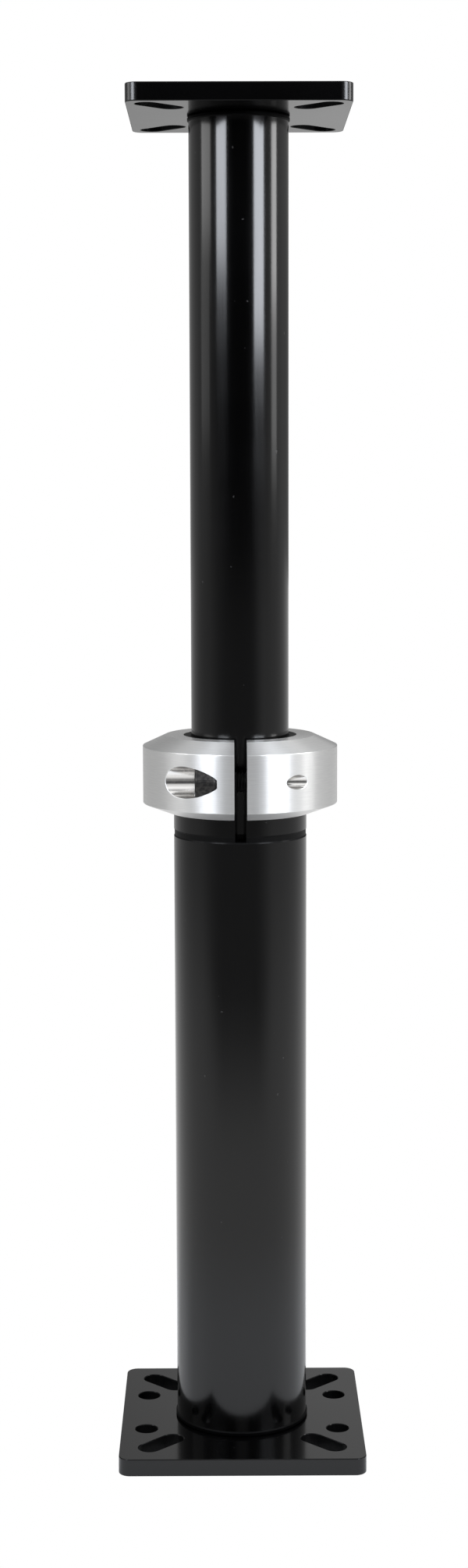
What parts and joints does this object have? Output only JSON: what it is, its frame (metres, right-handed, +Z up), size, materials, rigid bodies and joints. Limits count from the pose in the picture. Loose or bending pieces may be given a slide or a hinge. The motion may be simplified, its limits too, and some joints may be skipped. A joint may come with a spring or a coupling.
{
  "type": "adjustable clamping post",
  "caption": "Telescoping support post: square base plate, fixed lower tube, sliding upper tube with a square mounting plate, locked by a split clamp collar with a cross screw.",
  "frame": {"origin": "middle of the underside of the base plate", "axes": "+Z up along the post, the split of the collar faces -Y, the head of the clamp screw faces -X"},
  "size_m": [0.1524, 0.1524, 0.8322],
  "materials": {
    "black_anodised": "black anodised, satin gloss",
    "black_oxide_steel": "black oxide, dull",
    "spring_steel": "phosphated spring steel",
    "turned_aluminium": "bright, fine turned",
    "acetal": "natural acetal",
    "rubber": "matt black"
  },
  "bodies": {
    "base": {"base_plate": "black_anodised", "base_plug": "black_anodised", "base_plate_screws": "black_oxide_steel", "lower_tube": "black_anodised", "clamp_sleeve": "black_anodised", "stop_ring": "rubber"},
    "collar": {"clamp_collar": "turned_aluminium"},
    "clamp_washer": {"clamp_washer": "black_oxide_steel"},
    "clamp_screw": {"clamp_screw": "black_oxide_steel"},
    "guide": {"guide_ring": "acetal"},
    "post": {"upper_tube": "black_anodised", "guide_snap_ring": "spring_steel", "guide_end_plug": "turned_aluminium", "bottom_buffer": "rubber", "buffer_screw": "black_oxide_steel", "top_plug": "black_anodised", "top_plate_screws": "black_oxide_steel", "top_plate": "black_anodised"}
  },
  "joints": [
    {"name": "height_slide", "type": "slide", "parent": "base", "child": "guide", "axis": [0, 0, 1], "range_m": [-0.2405, 0.0195]},
    {"name": "post_swivel", "type": "hinge", "parent": "guide", "child": "post", "pos_m": [0, 0, 0.307], "axis": [0, 0, 1], "continuous": true},
    {"name": "collar_turn", "type": "hinge", "parent": "base", "child": "collar", "pos_m": [0, 0, 0.425], "axis": [0, 0, 1], "continuous": true},
    {"name": "clamp_screw_travel", "type": "slide", "parent": "collar", "child": "clamp_washer", "axis": [-1, 0, 0], "range_m": [0, 0.0078]},
    {"name": "clamp_screw_turn", "type": "hinge", "parent": "clamp_washer", "child": "clamp_screw", "pos_m": [-0.015, -0.0492, 0.425], "axis": [-1, 0, 0], "range_deg": [0, 1440]}
  ],
  "couplings": [
    {"joint": "clamp_screw_turn", "follows": "clamp_screw_travel", "rad_per_m": 3215.8}
  ]
}
